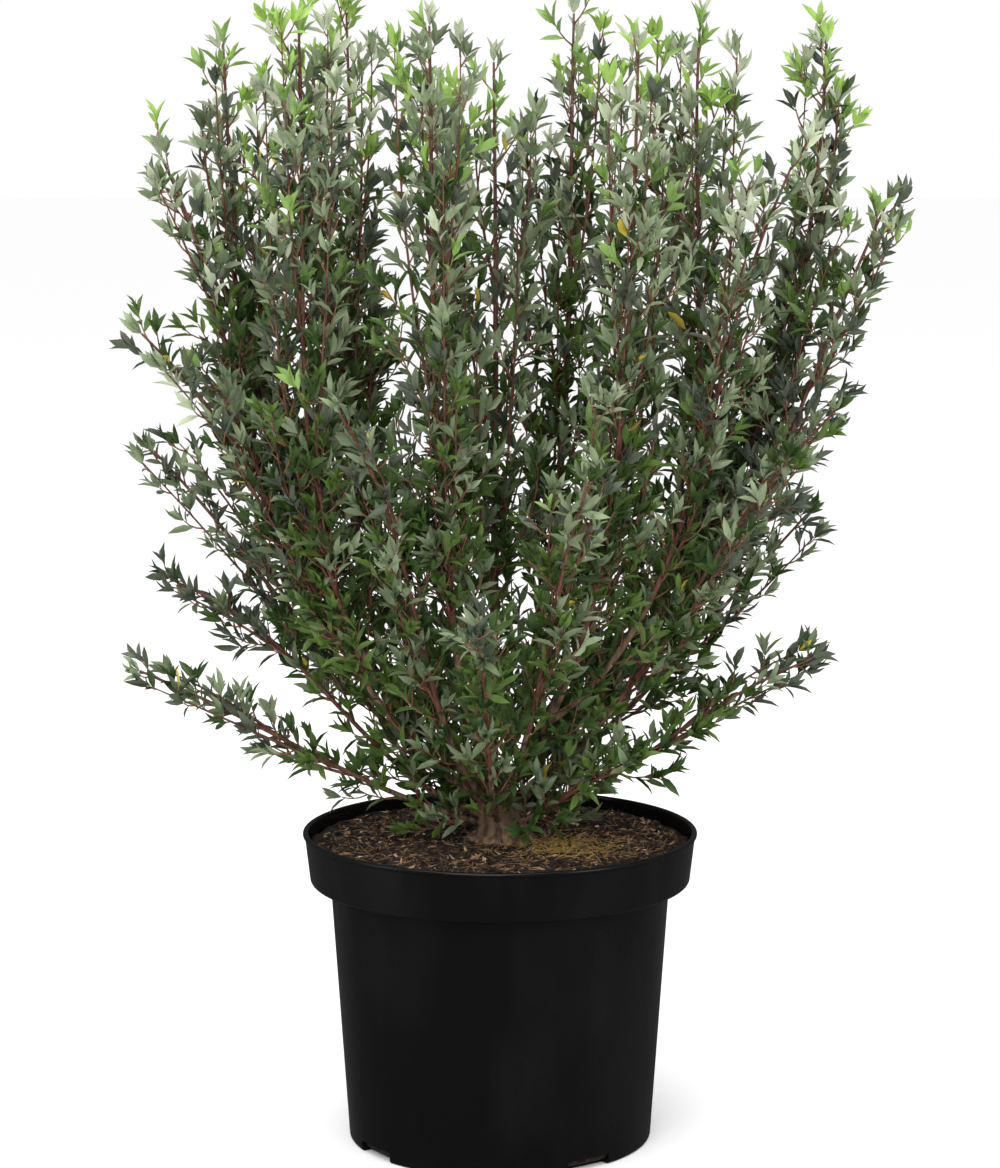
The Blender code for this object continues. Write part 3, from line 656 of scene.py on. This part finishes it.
TWIG_SHARES = (0.2, 0.35, 0.55, 0.85)
TWIG_ANGLE = 42.0
TWIG_RADIUS = 0.0008
TWIG_TIP_RADIUS = 0.00045
TWIG_BEND = 16.0
FORK_LENGTH = 0.030
FORK_PLACES = (0.4, 0.68)
FORK_ANGLES = (34.0, 50.0)
FORK_SIZE = 0.45
FORK_BARE = 0.35
GOLDEN_ANGLE = 137.5
LEAF_STEP = 0.0050
LEAF_LENGTHS = (0.012, 0.0215)
LEAF_NARROW = (0.23, 0.32)
LEAF_ANGLES = (38.0, 62.0)
LEAF_TWIST = 0.28
TIP_LEAVES = 6
YOUTH_FOOT = 0.24
YOUTH_RISE = 0.56
# How far from the middle of the crown a spray counts as inside and takes the dark greens of painted shade.
SHADED_INNER_REACH = 0.155
YELLOW_EVERY = 450
SEED = 7
grow = random.Random(SEED)
stems = Tubes()
twigs = Tubes()
leaves = []
tints_by_youth = (
    (0.80, ("young_bright", "young_bright", "young_lime", "silver")),
    (0.58, ("young_lime", "silver", "silver", "sage", "grey_green", "slate")),
    (0.30, ("sage", "sage", "grey_green", "grey_green", "slate", "leaf_green", "deep_green")),
)
# Sprays inside the crown take dark greens: painted shade for the crown's shaded inside.
shaded_inner_tints = ("deep_green", "deep_green", "leaf_green", "leaf_green", "grey_green")
outer_tints = ("slate", "slate", "deep_green", "grey_green", "sage")


def turned_off(way, angle, spin):
    """A direction that stands off another by an angle, spun round it, both in degrees."""
    side = unit(np.cross(way, (0.83, 0.11, 0.54)))
    other = np.cross(way, side)
    turn = math.radians(spin)
    tilt = math.radians(angle)
    return math.cos(tilt) * way + math.sin(tilt) * (math.cos(turn) * side + math.sin(turn) * other)


def inside_crown(point):
    """Whether a point keeps to the crown's clipped outline and off the pot."""
    if point[2] > CLIP_HEIGHT or not CROWN_LEFT < point[0] < CROWN_RIGHT or abs(point[1]) > CROWN_DEPTH:
        return False
    radius = math.hypot(point[0], point[1])
    if radius < LIP_RADIUS + RIM_REACH:
        over_rim = radius > mix_edge - RIM_REACH
        return point[2] > (POT_HEIGHT + RIM_CLEARANCE if over_rim else MIX_LEVEL + MIX_CLEARANCE)
    return point[2] > LOWEST_LEAF


def add_leaf(root, way, axis, length, tint):
    """A leaf, where it stays in the crown. Its upper side turns to the twig's axis."""
    if inside_crown(root + length * way) and inside_crown(root + 0.5 * length * way):
        twist = np.array([grow.gauss(0.0, LEAF_TWIST) for _ in range(3)])
        upper = axis - way * np.dot(axis, way) + twist
        leaves.append((root, way, upper, length, length * grow.uniform(*LEAF_NARROW), tint))


def spray_tint(place, share):
    """The colour of a spray: young at the clipped top and on the tips, with dark greens inside the crown as painted
    shade.
    """
    height = max(0.0, (place[2] - YOUTH_FOOT) / YOUTH_RISE)
    youth = 0.64 * height**1.3 + 0.30 * share**2 * height + grow.gauss(0.0, 0.12)
    for least, tints in tints_by_youth:
        if youth > least:
            return grow.choice(tints)
    return grow.choice(shaded_inner_tints if math.hypot(place[0], place[1]) < SHADED_INNER_REACH else outer_tints)


def rosette(place, way, count, lean, spin, tint):
    """Leaves in a ring on a tip, each a golden angle on from the last."""
    for index in range(count):
        length = grow.uniform(*LEAF_LENGTHS) * 0.95
        leaf_way = turned_off(way, lean + grow.uniform(0.0, 24.0), spin + GOLDEN_ANGLE * index)
        add_leaf(place, leaf_way, way, length, tint)


def dress_twig(twig, first, tint):
    """Leaves along a twig by the golden angle, and a rosette on its tip."""
    run = lengths(twig.points)[-1]
    spin = grow.uniform(0.0, 360.0)
    count = max(2, int(run * (1.0 - first) / LEAF_STEP))
    for index in range(count):
        share = first + (1.0 - first) * (index + 0.5) / count
        place, way, _ = along(twig, share)
        spin += GOLDEN_ANGLE
        length = grow.uniform(*LEAF_LENGTHS) * (0.72 + 0.28 * math.sin(math.pi * share))
        add_leaf(place, turned_off(way, grow.uniform(*LEAF_ANGLES), spin), way, length, tint)
    place, way, _ = along(twig, 1.0)
    rosette(place, way, grow.choice((3, 4, 5)), 14.0, spin, tint)


def grow_twig(root, way, length, radius):
    """A twig in three runs, bent up towards the light. It is shortened to stay in the crown."""
    for _ in range(5):
        points = [root]
        onward = way
        for _ in range(3):
            points.append(points[-1] + length / 3 * onward)
            onward = unit(onward + math.tan(math.radians(TWIG_BEND)) * np.array((0.0, 0.0, 1.0)))
        if inside_crown(points[-1]):
            return Path(np.array(points), np.linspace(radius, TWIG_TIP_RADIUS, 4))
        length *= 0.7
    return None


def side_shoot(stem, share, last, spread, spin):
    """An upright shoot that leaves a stem and then runs beside it, inside the crown."""
    run = piece_of(stem, share, last, SHOOT_POINTS)
    side = turned_off(along(stem, share)[1], 90.0, spin)
    steps = np.linspace(0.0, 1.0, SHOOT_POINTS)
    radii = SHOOT_RADIUS + (TWIG_TIP_RADIUS - SHOOT_RADIUS) * steps
    for _ in range(4):
        points = run.points + (spread * (1.0 - (1.0 - steps) ** 2))[:, None] * side
        if all(inside_crown(point) for point in points):
            return Path(points, np.minimum(radii, run.radii))
        spread *= 0.6
    return None


def dress(path, first, twig_length):
    """Twigs with their own forks and leaves, all along a stem or a shoot."""
    count = max(2, int((1.0 - first) * lengths(path.points)[-1] / TWIG_STEP))
    spin = grow.uniform(0.0, 360.0)
    for index in range(count):
        share = first + (1.0 - first) * ((index + grow.uniform(0.1, 0.9)) / count) ** TWIG_CROWDING
        root, way, _ = along(path, share)
        spin += GOLDEN_ANGLE
        length = twig_length * (1.0 - 0.5 * share) * grow.choice(TWIG_SHARES) * grow.uniform(0.8, 1.15)
        twig_way = turned_off(way, TWIG_ANGLE + grow.uniform(-12.0, 12.0), spin)
        twig = grow_twig(root, twig_way, length, TWIG_RADIUS)
        if twig is None:
            continue
        tint = spray_tint(twig.points[-1], share)
        twigs.add(twig, TWIG_SIDES)
        dress_twig(twig, TWIG_BARE, tint)
        for fork in FORK_PLACES if length > FORK_LENGTH else ():
            start, start_way, _ = along(twig, fork)
            side_way = turned_off(start_way, grow.uniform(*FORK_ANGLES), grow.uniform(0.0, 360.0))
            side = grow_twig(start, side_way, FORK_SIZE * length, 0.8 * TWIG_RADIUS)
            if side is not None:
                twigs.add(side, TWIG_SIDES)
                dress_twig(side, FORK_BARE, tint)
    tip, tip_way, _ = along(path, 1.0)
    rosette(tip, tip_way, TIP_LEAVES, 10.0, spin, spray_tint(tip, 1.0))


for leader in LEADERS:
    tier = TIERS[leader.tier]
    whole = axes[leader.name]
    tip = whole.points[-1] + TIP_RUN * heading(leader.azimuth, tier.tip_lean)
    whole = Path(np.vstack((whole.points, tip)), np.append(whole.radii, TIP_RADIUS))
    stem = piece_of(whole, tier.bare, 1.0, STEM_RINGS)
    stems.add(stem, STEM_SIDES, STEM_RELIEF)
    dress(whole, FIRST_TWIG, tier.twig_length)
    spin = grow.uniform(0.0, 360.0)
    for index in range(tier.shoots + tier.low_shoots):
        spin += GOLDEN_ANGLE
        if index < tier.shoots:
            share = SHOOT_FEET[0] + SHOOT_FEET[1] * (index + grow.uniform(0.0, 1.0)) / tier.shoots
            last = share + (1.0 - share) * grow.uniform(*SHOOT_RUN)
        else:
            share = grow.uniform(*LOW_SHOOT_FEET)
            last = share + grow.uniform(*LOW_SHOOT_RUN)
        spread = tier.spread * (1.15 - 3.3 * leader.reach) if leader.tier == "clipped" else tier.spread
        shoot = side_shoot(stem, share, last, spread * grow.uniform(0.5, 1.0), spin)
        if shoot is not None:
            stems.add(shoot, SHOOT_SIDES)
            dress(shoot, SHOOT_BARE, SHOOT_TWIGS * tier.twig_length)

stem_bark = Finish("red_brown_stem", (0.12, 0.035, 0.022), 0.6)
weathered = stem_bark.step(stem_bark.grain(300.0, 3.0, (1.0, 1.0, 0.25)), 0.4, 0.7)
stem_bark.drive("Base Color", stem_bark.blend(weathered, (0.095, 0.028, 0.018), (0.170, 0.075, 0.045)))
masses = ["foliage_" + leader.name for leader in LEADERS]
stem_piece = shown("leading_stems", stems.points, stems.faces, stem_bark.material)
twig_bark = mottled("orange_brown_twig", (0.190, 0.080, 0.042), 0.6, 160.0)
twig_piece = shown("twigs", twigs.points, twigs.faces, twig_bark)
for piece in (stem_piece, twig_piece):
    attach(piece, "root")
    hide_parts(*masses)

# A leaf is a narrow pointed blade, folded a little along its midrib and bent back.
leaf_points = []
for share, wide, arch in ((0.03, 0.16, 0.0), (0.34, 0.96, 0.026), (0.68, 0.80, 0.024)):
    edge = arch + 0.09 * wide
    leaf_points += [(-0.5 * wide, edge, share), (0.0, arch, share), (0.5 * wide, edge, share)]
leaf_points.append((0.0, -0.03, 1.0))
leaf_faces = ((0, 1, 4, 3), (1, 2, 5, 4), (3, 4, 7, 6), (4, 5, 8, 7), (6, 7, 9), (7, 8, 9))
leaf_tints = {
    "young_bright": (0.270, 0.430, 0.085),
    "young_lime": (0.210, 0.340, 0.085),
    "silver": (0.380, 0.430, 0.290),
    "sage": (0.215, 0.270, 0.150),
    "grey_green": (0.130, 0.170, 0.088),
    "slate": (0.078, 0.098, 0.064),
    # This dark green was read from leaves in shade: partly the leaves' own dark green, partly painted shade.
    "deep_green": (0.040, 0.078, 0.016),
    "leaf_green": (0.085, 0.148, 0.028),
    "yellow": (0.560, 0.440, 0.050),
}
for index in range(0, len(leaves), YELLOW_EVERY):
    leaves[index] = (*leaves[index][:5], "yellow")
for tint, colour in leaf_tints.items():
    chosen = [leaf for leaf in leaves if leaf[5] == tint]
    roots = np.array([leaf[0] for leaf in chosen])
    ways = unit(np.array([leaf[1] for leaf in chosen]))
    uppers = np.array([leaf[2] for leaf in chosen])
    sizes = np.array([(leaf[4], leaf[3], leaf[3]) for leaf in chosen])
    finish = mottled("leaf_" + tint, colour, 0.42, 55.0, 0.18, Specular_IOR_Level=0.5)
    piece = scattered("leaves_" + tint, np.array(leaf_points), leaf_faces, roots, ways, uppers, sizes, finish, True)
    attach(piece, "root")
    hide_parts(*masses)
